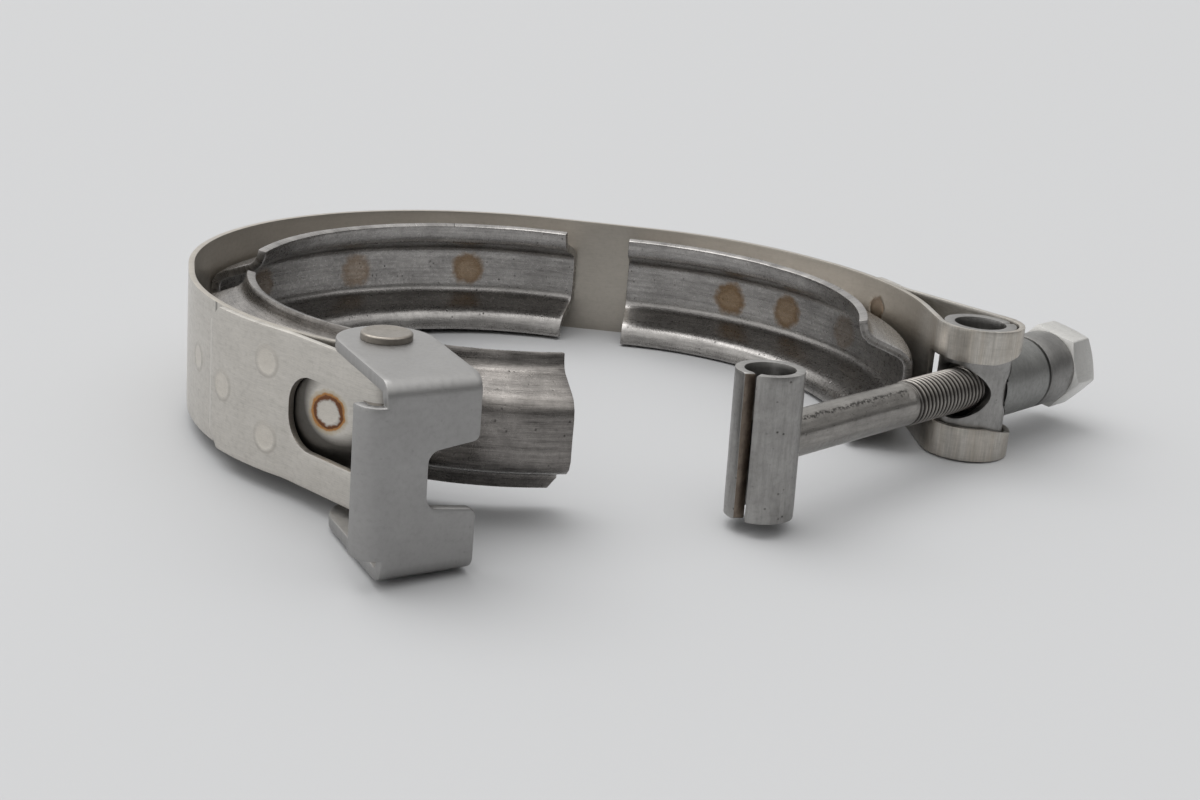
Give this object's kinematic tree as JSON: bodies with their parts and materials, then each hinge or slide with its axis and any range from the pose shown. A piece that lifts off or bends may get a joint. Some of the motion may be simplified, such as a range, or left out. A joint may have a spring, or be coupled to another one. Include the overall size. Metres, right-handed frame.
{
  "type": "v band clamp",
  "caption": "V-band clamp with a spot-welded steel strap, V-groove retainer segments, a hinged latch and a T-bolt on a swivelling trunnion.",
  "frame": {"origin": "centre of the back left retainer segment's arc, on the mid-plane of the strap's width", "axes": "+Z along the ring's axis, towards the side that shows the latch pin's head; +X across the ring towards the trunnion; +Y towards the closed back of the ring"},
  "size_m": [0.1347, 0.1138, 0.0251],
  "materials": {
    "strap": "satin",
    "segment_front_left": "satin",
    "segment_back_left": "satin",
    "segment_back_right": "satin",
    "latch": "satin",
    "latch_pin": "satin",
    "trunnion": "satin",
    "spacer_sleeve": "satin",
    "thrust_collar": "satin",
    "nut": "satin",
    "bolt_shank": "satin",
    "t_head": "satin"
  },
  "bodies": {
    "band": {"strap": "strap", "segment_front_left": "segment_front_left", "segment_back_left": "segment_back_left", "segment_back_right": "segment_back_right"},
    "latch_body": {"latch": "latch", "latch_pin": "latch_pin"},
    "trunnion_body": {"trunnion": "trunnion", "spacer_sleeve": "spacer_sleeve", "thrust_collar": "thrust_collar"},
    "bolt_body": {"bolt_shank": "bolt_shank", "t_head": "t_head"},
    "nut_body": {"nut": "nut"}
  },
  "joints": [
    {"name": "latch_pivot", "type": "hinge", "parent": "band", "child": "latch_body", "pos_m": [-0.01, -0.0499, 0], "axis": [0, 0, 1], "range_deg": [-60, 50]},
    {"name": "trunnion_pivot", "type": "hinge", "parent": "band", "child": "trunnion_body", "pos_m": [0.069, -0.00562, 0], "axis": [0, 0, 1], "range_deg": [-6, 36]},
    {"name": "bolt_draw", "type": "slide", "parent": "trunnion_body", "child": "bolt_body", "axis": [0.6794, 0.7337, 0], "range_m": [-0.004, 0.03]},
    {"name": "nut_turn", "type": "hinge", "parent": "trunnion_body", "child": "nut_body", "pos_m": [0.08408, 0.01067, 0], "axis": [-0.6794, -0.7337, 0], "range_deg": [-1589, 11907]}
  ],
  "couplings": [
    {"joint": "nut_turn", "follows": "bolt_draw", "rad_per_m": 6926.3}
  ]
}
